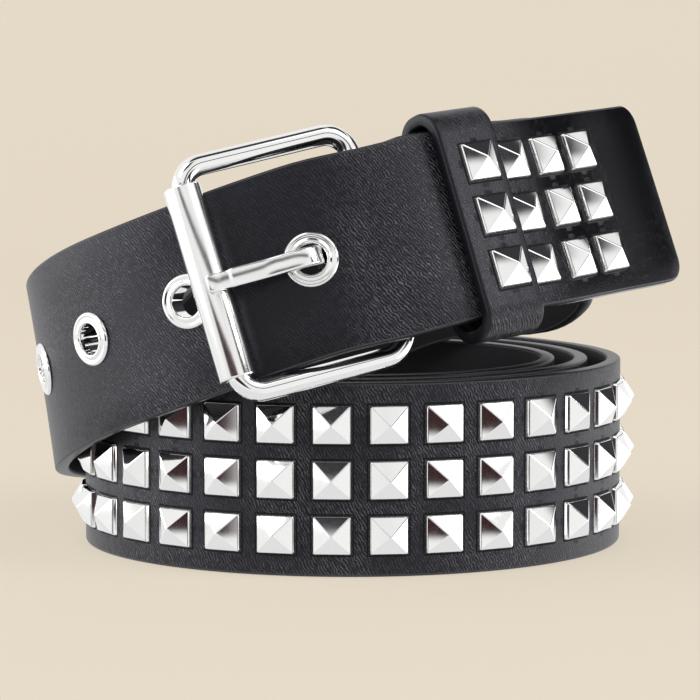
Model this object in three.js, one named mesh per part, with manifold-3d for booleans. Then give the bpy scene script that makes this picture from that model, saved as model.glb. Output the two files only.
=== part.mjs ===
// A studded leather belt, fastened and coiled up, lying on its lower edge.
// Millimetres, +Z up. The coil's free front faces -Y and the strap's end points to +X.
// The origin ends up under the middle of the belt, on the surface that it lies on.
import * as THREE from 'three';
import { mergeVertices } from 'three/addons/utils/BufferGeometryUtils.js';
import Module from 'manifold-3d';

const wasm = await Module();
wasm.setup();

// The strap
const strapWidth = 38;
const strapThickness = 3;
const tipCornerRadius = 4;
const tipCornerSteps = 4;
const plainEndLength = 16.6;

// How the strap is coiled
const coilHalfWidth = 54.4;
const coilHalfDepth = 51;
const layerClearance = 0.55;
const turnCount = 4;
const fullAngle = 360;
const frontAngle = 990;
const eyeletAngle = 1343.8;
const ringSlopeAcross = -0.3;
const ringSlopeBack = 0.218;
const bendStep = 5.4;
const sampleCount = 3000;
const probeAngle = 0.05;

// Pyramid studs
const studSize = 8;
const studShoulderShare = 0.94;
const studPitch = 10.8;
const studRows = 3;
const tipStudCount = 3;
const studRim = 0.8;
const studHeight = 3.3;
const studSink = 0.6;
const studStart = 64;
const lastStudToEyelet = 22.7;

// Eyelets
const eyeletCount = 7;
const eyeletPitch = 25.4;
const eyeletBore = 6.1;
const eyeletFlange = 10.9;
const eyeletBackFlange = 10;
const eyeletWall = 0.5;
const eyeletDome = 0.95;
const eyeletSides = 14;

// The eyelet's front face, as shares of its dome: height of the hole's edge, how far in the
// two rounded edges reach, and height of the outer one
const eyeletLipShare = 0.5;
const eyeletRoundShare = 0.6;
const eyeletOuterShare = 0.8;

// Roller buckle
const wireDiameter = 4.2;
const wireSides = 10;
const frameSideGap = 1.6;
const buckleInnerHeight = strapWidth + 2 * frameSideGap;
const buckleCornerRadius = 4.8;
const cornerSteps = 5;
const rollerDiameter = 7.3;
const rollerEndGap = 1.35;
const rollerLength = buckleInnerHeight - 2 * rollerEndGap;
const rollerSides = 18;
const buckleLift = 1;

// How the buckle holds the strap
const rollerToEyelet = 18.6;
const heelToEyelet = 15.6;
const prongWidth = 3.7;
const prongThickness = 2.4;
const foldTailLength = 10;
const foldInset = 1.8;
const foldWidth = strapWidth - 2 * foldInset;
const foldTailSteps = 3;
const foldWrapSteps = 6;

// The prong's middle line: over the roller, then through the first eyelet, and last round the
// heel bar. at: along the strap from the eyelet's axis, in eyelet bores; above: in heights of
// a prong that just clears the eyelet.
const overRollerAngles = [112, 96, 80];
const throughEyeletRows = [
  { at: -0.826, above: 1.225 },
  { at: -0.216, above: 1.063 },
  { at: 0, above: 0.15 },
  { at: 0.295, above: -1.125 },
];
const roundHeelAngles = [118, 80, 40, 0, -40, -80, -120, -155];

// Keeper loop
const keeperWidth = 14;
const keeperWall = 2.6;
const keeperSideClearance = 1.5;
const keeperCornerRadius = 4.2;
const heelToKeeper = 12.8;
const keeperDrop = 0.15;
const keeperStudShift = 1;

// Clearances
const fitGap = 0.35;
const weldDistance = 1e-4;

const layerPitch = strapThickness + studHeight + layerClearance;

// The line of the strap. at: degrees wound, 0 on +X; out: departure from an even spiral,
// in layer pitches; height: of the strap's middle, in strap widths; tilt: share of the
// upper ring's slope that the strap leans with.
const tipRows = [
  { at: 1358, out: -0.71, height: 1.715, tilt: 1 },
  { at: 1373.5, out: -1.14, height: 1.792, tilt: 1 },
  { at: 1392.6, out: -1.47, height: 1.832, tilt: 1 },
  { at: 1416.5, out: -1.27, height: 1.865, tilt: 1 },
  { at: 1436.3, out: 0.17, height: 1.902, tilt: 1 },
  { at: 1446, out: 1.3, height: 1.923, tilt: 1 },
];
const riseRows = [
  { at: 1060, out: 0, height: 0.5, tilt: 0 },
  { at: 1115, out: 0, height: 0.5, tilt: 0 },
  { at: 1170, out: 0.12, height: 0.55, tilt: 0.1 },
  { at: 1215, out: 0.32, height: 0.66, tilt: 0.3 },
  { at: 1260, out: 0.31, height: 0.86, tilt: 0.5 },
  { at: 1302, out: 0.2, height: 1.228, tilt: 0.9 },
  { at: 1343, out: -0.45, height: 1.623, tilt: 1 },
];
const descentRows = [
  { at: -20, out: 1.62, height: 1.83, tilt: 1 },
  { at: 0, out: 1.3, height: 1.72, tilt: 0.8 },
  { at: 24, out: 1, height: 1.58, tilt: 0.5 },
  { at: 50, out: 0.5, height: 1.54, tilt: 0.3 },
  { at: 75, out: 0.02, height: 1.42, tilt: 0.1 },
  { at: 100, out: 0, height: 1.2, tilt: 0 },
  { at: 140, out: 0, height: 0.83, tilt: 0 },
  { at: 180, out: 0, height: 0.57, tilt: 0 },
  { at: 210, out: 0, height: 0.5, tilt: 0 },
  { at: 250, out: 0, height: 0.5, tilt: 0 },
];

// The buckle end lies right behind the tip end, so its rows follow from the tip's.
const besideTip = turnCount - (strapThickness + fitGap) / layerPitch;
const buckleRows = tipRows.slice(0, 3).map((row) => ({
  at: row.at - turnCount * fullAngle,
  out: row.out + besideTip,
  height: row.height,
  tilt: row.tilt,
}));
const pathRows = [...buckleRows, ...descentRows, ...riseRows, ...tipRows];

// Smooth value of one column of a table, through every row. It stays level where the column
// is level on one side of a row, so that the coil lies flat.
function smooth(rows, column, at) {
  let i = 0;
  while (i < rows.length - 2 && rows[i + 1].at < at) i += 1;
  const slopeAt = (j) => {
    const before = rows[Math.max(j - 1, 0)];
    const after = rows[Math.min(j + 1, rows.length - 1)];
    const comingIn = rows[j][column] - before[column];
    const goingOut = after[column] - rows[j][column];
    const inside = j > 0 && j < rows.length - 1;
    if (inside && comingIn * goingOut <= 0) return 0;
    return (comingIn + goingOut) / (after.at - before.at);
  };
  const a = rows[i];
  const b = rows[i + 1];
  const span = b.at - a.at;
  const t = (at - a.at) / span;
  const t2 = t * t;
  const t3 = t2 * t;
  const fromA = (2 * t3 - 3 * t2 + 1) * a[column] + (t3 - 2 * t2 + t) * span * slopeAt(i);
  const fromB = (3 * t2 - 2 * t3) * b[column] + (t3 - t2) * span * slopeAt(i + 1);
  return fromA + fromB;
}

// Middle of the strap after a number of degrees wound.
function middleAt(at) {
  const angle = THREE.MathUtils.degToRad(at);
  const grown = layerPitch * ((at - frontAngle) / fullAngle + smooth(pathRows, 'out', at));
  return new THREE.Vector3(
    (coilHalfWidth + grown) * Math.cos(angle),
    (coilHalfDepth + grown) * Math.sin(angle),
    strapWidth * smooth(pathRows, 'height', at),
  );
}

// The path by its length: samples with the running length, from the heel bar to past the tip.
const samples = [];
const firstAt = pathRows[0].at;
const lastAt = pathRows[pathRows.length - 1].at;
let pathLength = 0;
for (let i = 0; i <= sampleCount; i += 1) {
  const at = firstAt + ((lastAt - firstAt) * i) / sampleCount;
  const point = middleAt(at);
  if (i > 0) pathLength += point.distanceTo(samples[i - 1].point);
  samples.push({ at, point, length: pathLength });
}

// Degrees wound after a length of strap.
function woundAfter(length) {
  let low = 0;
  let high = sampleCount;
  while (high - low > 1) {
    const mid = (low + high) >> 1;
    if (samples[mid].length < length) low = mid;
    else high = mid;
  }
  const a = samples[low];
  const b = samples[high];
  return a.at + ((b.at - a.at) * (length - a.length)) / (b.length - a.length);
}

// Length of strap after a number of degrees wound.
function lengthAt(at) {
  const i = Math.floor(((at - firstAt) / (lastAt - firstAt)) * sampleCount);
  return samples[i].length + samples[i].point.distanceTo(middleAt(at));
}

// Point, direction along, direction out of the studded face and direction up the width.
function strapFrame(length) {
  const at = woundAfter(length);
  const along = middleAt(at + probeAngle).sub(middleAt(at - probeAngle)).normalize();
  const tilt = smooth(pathRows, 'tilt', at);
  const up = new THREE.Vector3(ringSlopeAcross * tilt, ringSlopeBack * tilt, 1);
  up.addScaledVector(along, -up.dot(along)).normalize();
  const out = along.clone().cross(up).normalize();
  return { point: middleAt(at), along, out, up };
}

// A point placed from a frame: along the strap, out of its face and up its width.
function fromFrame(frame, along, out, up) {
  return frame.point.clone()
    .addScaledVector(frame.along, along)
    .addScaledVector(frame.out, out)
    .addScaledVector(frame.up, up);
}

// Places along the strap, as lengths from the heel bar
const firstEyelet = lengthAt(eyeletAngle);
const heelOnTip = firstEyelet + heelToEyelet;
const rollerOnTip = firstEyelet - rollerToEyelet;
const keeperOnTip = heelOnTip + heelToKeeper + keeperWidth / 2;
const firstTipStud = keeperOnTip + keeperWidth / 2 + studSize / 2 + fitGap;
const strapEnd = firstTipStud + (tipStudCount - 1) * studPitch + studSize / 2 + plainEndLength;
const lastEyelet = firstEyelet - (eyeletCount - 1) * eyeletPitch;
const lastStud = lastEyelet - lastStudToEyelet;
const studColumns = Math.floor((lastStud - studStart) / studPitch) + 1;

// Closed body swept through sections that are rings of points; caps close open ends.
function sweep(sections, closed) {
  const sides = sections[0].length;
  const positions = sections.flat().flatMap((p) => [p.x, p.y, p.z]);
  const index = [];
  const spans = closed ? sections.length : sections.length - 1;
  for (let i = 0; i < spans; i += 1) {
    const here = i * sides;
    const next = ((i + 1) % sections.length) * sides;
    for (let j = 0; j < sides; j += 1) {
      const k = (j + 1) % sides;
      index.push(here + j, next + k, here + k, here + j, next + j, next + k);
    }
  }
  if (!closed) {
    const end = (sections.length - 1) * sides;
    for (let j = 1; j < sides - 1; j += 1) {
      index.push(0, j, j + 1);
      index.push(end, end + j + 1, end + j);
    }
  }
  const geometry = new THREE.BufferGeometry();
  geometry.setAttribute('position', new THREE.Float32BufferAttribute(positions, 3));
  geometry.setIndex(index);
  return geometry;
}

// A shape's bare points and faces, with the points that coincide made one
function welded(geometry) {
  const bare = geometry.clone();
  bare.deleteAttribute('normal');
  bare.deleteAttribute('uv');
  return mergeVertices(bare, weldDistance);
}

function toSolid(geometry) {
  const shell = welded(geometry);
  return new wasm.Manifold(new wasm.Mesh({
    numProp: 3,
    vertProperties: new Float32Array(shell.attributes.position.array),
    triVerts: new Uint32Array(shell.index.array),
  }));
}

function toGeometry(solid) {
  const mesh = solid.getMesh();
  const geometry = new THREE.BufferGeometry();
  geometry.setAttribute('position', new THREE.Float32BufferAttribute(mesh.vertProperties, 3));
  geometry.setIndex(Array.from(mesh.triVerts));
  geometry.computeVertexNormals();
  return geometry;
}

// Matrix that lays x along the strap, y up its width and z out of its face.
function frameMatrix(frame) {
  const matrix = new THREE.Matrix4().makeBasis(frame.along, frame.up, frame.out);
  return matrix.setPosition(frame.point);
}

// The flat piece of strap under a stud or an eyelet, between two sections of the strap.
function flatFrame(length, reach) {
  const before = strapFrame(length - reach);
  const after = strapFrame(length + reach);
  const along = after.point.clone().sub(before.point).normalize();
  const up = before.up.clone().add(after.up);
  up.addScaledVector(along, -up.dot(along)).normalize();
  const point = before.point.clone().add(after.point).multiplyScalar(0.5);
  return { point, along, out: along.clone().cross(up).normalize(), up };
}

// One pyramid stud on a low square rim, its base sunk into the leather.
function studGeometry() {
  const half = studSize / 2;
  const shoulder = half * studShoulderShare;
  const square = (r, z) => [
    new THREE.Vector3(-r, -r, z),
    new THREE.Vector3(r, -r, z),
    new THREE.Vector3(r, r, z),
    new THREE.Vector3(-r, r, z),
  ];
  const foot = square(half, -studSink);
  const rim = square(shoulder, studRim);
  const apex = new THREE.Vector3(0, 0, studHeight);
  const points = [...foot, ...rim, apex];
  const positions = points.flatMap((p) => [p.x, p.y, p.z]);
  const sides = foot.length;
  const index = [0, 3, 2, 0, 2, 1];
  for (let j = 0; j < sides; j += 1) {
    const k = (j + 1) % sides;
    index.push(j, k, sides + k, j, sides + k, sides + j, sides + j, sides + k, 2 * sides);
  }
  const geometry = new THREE.BufferGeometry();
  geometry.setAttribute('position', new THREE.Float32BufferAttribute(positions, 3));
  geometry.setIndex(index);
  return geometry;
}

// Many copies of one shape as a single solid; the copies don't touch each other.
function fieldOf(shape, matrices) {
  const positions = [];
  const index = [];
  const count = shape.attributes.position.count;
  matrices.forEach((matrix, copy) => {
    const placed = shape.clone().applyMatrix4(matrix);
    positions.push(...placed.attributes.position.array);
    index.push(...Array.from(placed.index.array, (i) => i + copy * count));
  });
  const geometry = new THREE.BufferGeometry();
  geometry.setAttribute('position', new THREE.Float32BufferAttribute(positions, 3));
  geometry.setIndex(index);
  return toSolid(geometry);
}

// One column of studs, centred on a piece of flat face that stands off by a distance.
function studColumn(frame, standOff) {
  const matrices = [];
  for (let row = 0; row < studRows; row += 1) {
    const up = (row - (studRows - 1) / 2) * studPitch;
    const seat = new THREE.Matrix4().makeTranslation(0, up, standOff);
    matrices.push(frameMatrix(frame).multiply(seat));
  }
  return matrices;
}

// Round body turned about z from a closed outline of radius and height pairs.
function turned(outline, sides) {
  const points = [...outline, outline[0]].map(([r, z]) => new THREE.Vector2(r, z));
  const geometry = new THREE.LatheGeometry(points, sides);
  geometry.rotateX(Math.PI / 2);
  return geometry;
}

const leather = new THREE.MeshStandardMaterial({ color: 0x141416, roughness: 0.5, metalness: 0 });
const nickel = new THREE.MeshStandardMaterial({ color: 0xd8d8da, roughness: 0.15, metalness: 1 });

// Heel bar, right behind the buckle end of the strap and square to the strap at the first eyelet
const heelFrame = strapFrame(0);
heelFrame.up = strapFrame(firstEyelet).up;
heelFrame.along.addScaledVector(heelFrame.up, -heelFrame.along.dot(heelFrame.up)).normalize();
heelFrame.out = heelFrame.along.clone().cross(heelFrame.up).normalize();
const heelOffset = strapThickness / 2 + fitGap + wireDiameter / 2;
const heelCentre = fromFrame(heelFrame, 0, -heelOffset, 0);

// Frames at which the strap gets a section: flat under each stud and eyelet, bent between
function strapFrames() {
  const flats = [];
  const addFlats = (count, first, step, reach) => {
    for (let i = 0; i < count; i += 1) flats.push({ middle: first + i * step, reach });
  };
  addFlats(studColumns, lastStud, -studPitch, studSize / 2);
  addFlats(tipStudCount, firstTipStud, studPitch, studSize / 2);
  addFlats(eyeletCount, firstEyelet, -eyeletPitch, eyeletFlange / 2);
  flats.sort((a, b) => a.middle - b.middle);
  const frames = [{ ...heelFrame, length: 0 }];
  let from = 0;
  const bendTo = (end) => {
    const pieces = Math.max(1, Math.round((end - from) / bendStep));
    for (let j = 1; j < pieces; j += 1) {
      const length = from + ((end - from) * j) / pieces;
      frames.push({ ...strapFrame(length), length });
    }
  };
  for (const { middle, reach } of flats) {
    bendTo(middle - reach);
    const flat = flatFrame(middle, reach);
    for (const length of [middle - reach, middle + reach]) {
      frames.push({ ...flat, point: strapFrame(length).point, length });
    }
    from = middle + reach;
  }
  const bodyEnd = strapEnd - tipCornerRadius;
  bendTo(bodyEnd);
  frames.push({ ...strapFrame(bodyEnd), length: bodyEnd });
  return frames;
}

// Rectangle across the strap, its corners going round against the sweep.
function strapSection(frame, halfWidth) {
  const half = strapThickness / 2;
  return [
    fromFrame(frame, 0, half, -halfWidth),
    fromFrame(frame, 0, half, halfWidth),
    fromFrame(frame, 0, -half, halfWidth),
    fromFrame(frame, 0, -half, -halfWidth),
  ];
}

// The folded end: a tail behind the strap, then half a turn round the heel bar.
function foldSections() {
  const sections = [];
  const near = strapThickness + fitGap;
  const wide = 2 * heelOffset;
  for (let i = 0; i <= foldTailSteps; i += 1) {
    const length = foldTailLength * (1 - i / foldTailSteps);
    const frame = strapFrame(length);
    const closing = THREE.MathUtils.smoothstep(length, 0, foldTailLength);
    const apart = THREE.MathUtils.lerp(wide, near, closing);
    const behind = {
      point: fromFrame(frame, 0, -apart, 0),
      along: frame.along.clone().negate(),
      out: frame.out.clone().negate(),
      up: frame.up,
    };
    sections.push(strapSection(behind, foldWidth / 2));
  }
  for (let i = 1; i < foldWrapSteps; i += 1) {
    const angle = (Math.PI * i) / foldWrapSteps;
    const out = heelFrame.out.clone().multiplyScalar(-Math.cos(angle));
    out.addScaledVector(heelFrame.along, -Math.sin(angle));
    const along = out.clone().cross(heelFrame.up).negate();
    const centre = fromFrame(heelFrame, 0, -heelOffset, 0);
    const frame = { point: centre.addScaledVector(out, heelOffset), along, out, up: heelFrame.up };
    sections.push(strapSection(frame, foldWidth / 2));
  }
  return sections;
}

// Half the strap's width from the narrowed fold to the full strap
function halfWidthAt(length) {
  const widening = THREE.MathUtils.smoothstep(length, 0, foldTailLength);
  return THREE.MathUtils.lerp(foldWidth, strapWidth, widening) / 2;
}

function buildStrap() {
  const sections = foldSections();
  for (const frame of strapFrames()) sections.push(strapSection(frame, halfWidthAt(frame.length)));
  for (let i = 1; i <= tipCornerSteps; i += 1) {
    const turn = (Math.PI / 2) * (i / tipCornerSteps);
    const length = strapEnd - tipCornerRadius * (1 - Math.sin(turn));
    const halfWidth = strapWidth / 2 - tipCornerRadius * (1 - Math.cos(turn));
    sections.push(strapSection(strapFrame(length), halfWidth));
  }
  let solid = toSolid(sweep(sections, false));

  const stud = studGeometry();
  const matrices = [];
  for (let i = 0; i < studColumns; i += 1) {
    const frame = flatFrame(lastStud - i * studPitch, studSize / 2);
    matrices.push(...studColumn(frame, strapThickness / 2));
  }
  for (let i = 0; i < tipStudCount; i += 1) {
    const frame = flatFrame(firstTipStud + i * studPitch, studSize / 2);
    matrices.push(...studColumn(frame, strapThickness / 2));
  }
  solid = solid.add(fieldOf(stud, matrices));

  const holeRadius = eyeletBore / 2 + eyeletWall + fitGap;
  const hole = new THREE.CylinderGeometry(holeRadius, holeRadius, 2 * strapThickness, eyeletSides);
  hole.rotateX(Math.PI / 2);
  const holes = [];
  for (let i = 0; i < eyeletCount; i += 1) holes.push(eyeletMatrix(i));
  solid = solid.subtract(fieldOf(welded(hole), holes));

  // The fold is slotted for the prong, on both sides of the heel bar.
  const slotLength = 2 * (heelOffset + strapThickness) + prongThickness;
  const slotHeight = prongWidth + 4 * fitGap;
  const slot = new THREE.BoxGeometry(slotLength, slotHeight, 2 * (heelOffset + strapThickness));
  const slotFrame = { ...heelFrame, point: heelCentre.clone() };
  slot.applyMatrix4(frameMatrix(slotFrame));
  return solid.subtract(toSolid(slot));
}

function eyeletMatrix(i) {
  return frameMatrix(flatFrame(firstEyelet - i * eyeletPitch, eyeletFlange / 2));
}

function eyeletGeometry() {
  const bore = eyeletBore / 2;
  const sleeve = bore + eyeletWall;
  const rim = eyeletFlange / 2;
  const back = eyeletBackFlange / 2;
  const seat = strapThickness / 2 + fitGap / 2;
  const rounded = eyeletDome * eyeletRoundShare;
  return turned([
    [bore, -seat - eyeletWall],
    [bore, seat + eyeletDome * eyeletLipShare],
    [bore + rounded, seat + eyeletDome],
    [rim - rounded, seat + eyeletDome * eyeletOuterShare],
    [rim, seat],
    [sleeve, seat],
    [sleeve, -seat],
    [back, -seat],
    [back - eyeletWall, -seat - eyeletWall],
  ].reverse(), eyeletSides);
}

// The buckle's own frame: from the roller to the heel bar, up, and out to the front.
// It is turned so that the heel bar lies straight in the fold.
const rollerOffset = strapThickness / 2 + fitGap + rollerDiameter / 2;
const rollerPlace = fromFrame(strapFrame(rollerOnTip), 0, rollerOffset, 0);
const buckleSpan = heelCentre.clone().sub(rollerPlace);
buckleSpan.addScaledVector(heelFrame.up, -buckleSpan.dot(heelFrame.up));
const buckleReach = buckleSpan.length();
const buckleFrame = {
  point: heelCentre.clone().sub(buckleSpan),
  along: buckleSpan.clone().normalize(),
  up: heelFrame.up,
  out: buckleSpan.clone().normalize().cross(heelFrame.up).normalize(),
};

// Rounded wire loop through the roller and the folded strap
function buildBuckleFrame() {
  const halfHeight = (buckleInnerHeight + wireDiameter) / 2;
  const corners = [
    { x: buckleReach - buckleCornerRadius, y: halfHeight - buckleCornerRadius, from: 0 },
    { x: buckleCornerRadius, y: halfHeight - buckleCornerRadius, from: 90 },
    { x: buckleCornerRadius, y: -halfHeight + buckleCornerRadius, from: 180 },
    { x: buckleReach - buckleCornerRadius, y: -halfHeight + buckleCornerRadius, from: 270 },
  ];
  const sections = [];
  for (const corner of corners) {
    for (let i = 0; i <= cornerSteps; i += 1) {
      const turn = THREE.MathUtils.degToRad(corner.from + (90 * i) / cornerSteps);
      const across = new THREE.Vector3(Math.cos(turn), Math.sin(turn), 0);
      const centre = new THREE.Vector3(corner.x, corner.y, 0).addScaledVector(across, buckleCornerRadius);
      const ring = [];
      for (let j = 0; j < wireSides; j += 1) {
        const around = (2 * Math.PI * (j + 0.5)) / wireSides;
        const local = centre.clone().addScaledVector(across, (wireDiameter / 2) * Math.cos(around));
        local.z += (wireDiameter / 2) * Math.sin(around);
        ring.push(fromFrame(buckleFrame, local.x, local.z, local.y + buckleLift));
      }
      sections.push(ring);
    }
  }
  return sweep(sections, true);
}

// The prong: bent over the roller, through the first eyelet and round the heel bar.
function buildProng() {
  const half = prongThickness / 2;
  const eyelet = strapFrame(firstEyelet);
  const place = (point) => {
    const offset = point.clone().sub(buckleFrame.point);
    return new THREE.Vector2(offset.dot(buckleFrame.along), offset.dot(buckleFrame.out));
  };
  const overRoller = rollerDiameter / 2 + fitGap + half;
  const loopRadius = wireDiameter / 2 + fitGap + half;
  const centreLine = [];
  for (const degrees of overRollerAngles) {
    const angle = THREE.MathUtils.degToRad(degrees);
    centreLine.push(new THREE.Vector2(
      overRoller * Math.cos(angle),
      overRoller * Math.sin(angle),
    ));
  }
  const aboveFlange = strapThickness / 2 + fitGap + eyeletDome + half;
  for (const row of throughEyeletRows) {
    centreLine.push(place(fromFrame(eyelet, row.at * eyeletBore, row.above * aboveFlange, 0)));
  }
  for (const degrees of roundHeelAngles) {
    const angle = THREE.MathUtils.degToRad(degrees);
    centreLine.push(new THREE.Vector2(
      buckleReach + loopRadius * Math.cos(angle),
      loopRadius * Math.sin(angle),
    ));
  }
  const sections = centreLine.map((point, i) => {
    const before = centreLine[Math.max(i - 1, 0)];
    const after = centreLine[Math.min(i + 1, centreLine.length - 1)];
    const along = after.clone().sub(before).normalize();
    const across = new THREE.Vector2(along.y, -along.x);
    const corner = (side, up) => {
      const flat = point.clone().addScaledVector(across, side * half);
      return fromFrame(buckleFrame, flat.x, flat.y, (up * prongWidth) / 2);
    };
    return [corner(1, -1), corner(-1, -1), corner(-1, 1), corner(1, 1)];
  });
  return sweep(sections, false);
}

// Leather band round both ends of the strap, with its own column of studs in front
function buildKeeper() {
  const frame = strapFrame(keeperOnTip);
  const bow = Math.max(...[-1, 1].map((side) => {
    const end = strapFrame(keeperOnTip + (side * keeperWidth) / 2).point;
    return frame.point.clone().sub(end).dot(frame.out);
  }));
  const front = strapThickness / 2 + fitGap;
  const back = -(1.5 * strapThickness + 2 * fitGap) - bow;
  const innerHeight = strapWidth / 2 + keeperSideClearance;
  const outline = (target, grow) => {
    const radius = keeperCornerRadius + grow - keeperWall;
    const top = innerHeight + grow;
    const near = front + grow;
    const far = back - grow;
    target.moveTo(far + radius, -top);
    target.lineTo(near - radius, -top);
    target.absarc(near - radius, -top + radius, radius, -Math.PI / 2, 0, false);
    target.lineTo(near, top - radius);
    target.absarc(near - radius, top - radius, radius, 0, Math.PI / 2, false);
    target.lineTo(far + radius, top);
    target.absarc(far + radius, top - radius, radius, Math.PI / 2, Math.PI, false);
    target.lineTo(far, -top + radius);
    target.absarc(far + radius, -top + radius, radius, Math.PI, 1.5 * Math.PI, false);
    return target;
  };
  const shape = outline(new THREE.Shape(), keeperWall);
  shape.holes.push(outline(new THREE.Path(), 0));
  const band = new THREE.ExtrudeGeometry(shape, {
    depth: keeperWidth,
    bevelEnabled: false,
    curveSegments: cornerSteps,
  });
  band.translate(0, 0, -keeperWidth / 2);
  const matrix = new THREE.Matrix4().makeBasis(frame.out, frame.up, frame.along.clone().negate());
  band.applyMatrix4(matrix.setPosition(fromFrame(frame, 0, 0, -keeperDrop)));
  const studFrame = { ...frame, point: fromFrame(frame, keeperStudShift, 0, 0) };
  const studs = fieldOf(studGeometry(), studColumn(studFrame, front + keeperWall));
  return toSolid(band).add(studs);
}

const belt = new THREE.Group();

function addMesh(name, geometry, material, matrix) {
  const mesh = new THREE.Mesh(geometry, material);
  mesh.name = name;
  if (matrix) {
    matrix.decompose(mesh.position, mesh.quaternion, mesh.scale);
  }
  belt.add(mesh);
  return mesh;
}

addMesh('strap', toGeometry(buildStrap()), leather);
addMesh('keeper_loop', toGeometry(buildKeeper()), leather);
addMesh('buckle_frame', buildBuckleFrame(), nickel);

const rollerBore = wireDiameter / 2 + fitGap;
const rollerOutline = [
  [rollerBore, -rollerLength / 2],
  [rollerDiameter / 2, -rollerLength / 2],
  [rollerDiameter / 2, rollerLength / 2],
  [rollerBore, rollerLength / 2],
];
const rollerMatrix = new THREE.Matrix4()
  .makeBasis(buckleFrame.out, buckleFrame.along, buckleFrame.up)
  .setPosition(fromFrame(buckleFrame, 0, 0, buckleLift));
addMesh('roller', turned(rollerOutline, rollerSides), nickel, rollerMatrix);
addMesh('prong', buildProng(), nickel);
for (let i = 0; i < eyeletCount; i += 1) {
  addMesh(`eyelet_${i + 1}`, eyeletGeometry(), nickel, eyeletMatrix(i));
}

// The belt stands on its lower edge, with the origin under the middle of its box.
const box = new THREE.Box3().setFromObject(belt, true);
const middle = box.getCenter(new THREE.Vector3());
belt.position.set(-middle.x, -middle.y, -box.min.z);
belt.updateMatrixWorld(true);

export default belt;
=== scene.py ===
import math

import bmesh
import bpy
from mathutils import Matrix, Vector


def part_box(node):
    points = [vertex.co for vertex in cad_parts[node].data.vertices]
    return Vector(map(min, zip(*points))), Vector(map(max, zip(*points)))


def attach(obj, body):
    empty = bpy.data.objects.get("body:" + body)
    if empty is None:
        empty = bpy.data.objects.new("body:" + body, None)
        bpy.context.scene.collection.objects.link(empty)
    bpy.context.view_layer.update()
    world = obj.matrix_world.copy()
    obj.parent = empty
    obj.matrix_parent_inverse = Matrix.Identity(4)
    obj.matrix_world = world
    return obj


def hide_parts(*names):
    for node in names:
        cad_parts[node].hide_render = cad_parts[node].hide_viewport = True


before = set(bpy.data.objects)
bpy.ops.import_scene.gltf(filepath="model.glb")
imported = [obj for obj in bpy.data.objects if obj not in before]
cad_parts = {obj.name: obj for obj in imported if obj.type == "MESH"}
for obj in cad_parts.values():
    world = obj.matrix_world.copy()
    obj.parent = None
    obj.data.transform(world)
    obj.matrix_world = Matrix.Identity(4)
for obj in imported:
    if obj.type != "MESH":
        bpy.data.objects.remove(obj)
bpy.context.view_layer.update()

# The studio: a cream floor that curves up behind the belt without an edge, and big soft
# white lights on both sides and above. The camera stands in front, a little above the belt.
mm = 0.001
bpy.context.scene.view_settings.view_transform = "Standard"
camera_data = bpy.data.cameras.new("camera")
camera_data.sensor_width = 36
camera_data.lens = 164.6
camera = bpy.data.objects.new("camera", camera_data)
camera_tilt = 0.1
camera.location = (-0.27 * mm, -664.44 * mm, 106 * mm)
camera.rotation_euler = (math.pi / 2 - camera_tilt, 0, 0)
bpy.context.collection.objects.link(camera)
bpy.context.scene.camera = camera


class Shade:
    """A value in a material. Sums that are written with it become nodes of the material."""

    def __init__(self, socket):
        self.socket = socket
        self.tree = socket.id_data

    def node(self, kind, settings=None, sockets=None, output=0):
        new = self.tree.nodes.new("ShaderNode" + kind)
        for name, value in (settings or {}).items():
            if name == "stops":
                for place, colour in value[2:]:
                    new.color_ramp.elements.new(place)
                for stop, (place, colour) in zip(new.color_ramp.elements, sorted(value)):
                    stop.position = place
                    stop.color = colour
            else:
                setattr(new, name, value)
        for name, value in (sockets or {}).items():
            if isinstance(value, Shade):
                self.tree.links.new(value.socket, new.inputs[name])
            else:
                new.inputs[name].default_value = value
        return Shade(new.outputs[output])

    def sum(self, operation, first, second=0.0, clamp=False):
        return self.node("Math", {"operation": operation, "use_clamp": clamp}, {0: first, 1: second})

    def __add__(self, other):
        return self.sum("ADD", self, other)

    def __radd__(self, other):
        return self.sum("ADD", other, self)

    def __sub__(self, other):
        return self.sum("SUBTRACT", self, other)

    def __rsub__(self, other):
        return self.sum("SUBTRACT", other, self)

    def __mul__(self, other):
        return self.sum("MULTIPLY", self, other)

    def __rmul__(self, other):
        return self.sum("MULTIPLY", other, self)

    def __truediv__(self, other):
        return self.sum("DIVIDE", self, other)

    def __abs__(self):
        return self.sum("ABSOLUTE", self)

    def __pow__(self, other):
        return self.sum("POWER", self, other)

    def at_least(self, other):
        return self.sum("MAXIMUM", self, other)

    def rising(self, low, high):
        """0 below low, 1 above high and smooth between them."""
        return self.node(
            "MapRange",
            {"interpolation_type": "SMOOTHSTEP"},
            {"Value": self, "From Min": low, "From Max": high},
        )

    def within(self, low, high, blur):
        """1 between two values and 0 outside them, with soft ends."""
        return self.rising(low - blur, low + blur) * (1 - self.rising(high - blur, high + blur))

    def past_nearest(self):
        """How far the value is past the nearest whole number."""
        return self - self.node("Math", {"operation": "ROUND"}, {0: self})

    def blend(self, first, second):
        """A colour between two colours, with this value as the share of the second."""
        return self.node(
            "Mix", {"data_type": "RGBA"}, {"Factor": self, 6: first, 7: second}, output=2
        )


def parts_of(vector):
    """The three numbers of a vector."""
    split = vector.node("SeparateXYZ", sockets={0: vector})
    return [Shade(part) for part in split.socket.node.outputs]


# White screens stand all round and overhead, each a little darker towards its sides. The
# polished metal mirrors them, and the dark gaps that are left between some of them.
room = bpy.data.worlds.new("room")
room.use_nodes = True
room_light = room.node_tree.nodes["Background"]
toward = Shade(room_light.outputs[0]).node("TexCoord", output="Generated")
aside, away, high = parts_of(toward)
around = aside.sum("ARCTAN2", aside, 0 - away) * (180 / math.pi)
gap_side_blur = 4
gap_end_blur = 0.025


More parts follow.
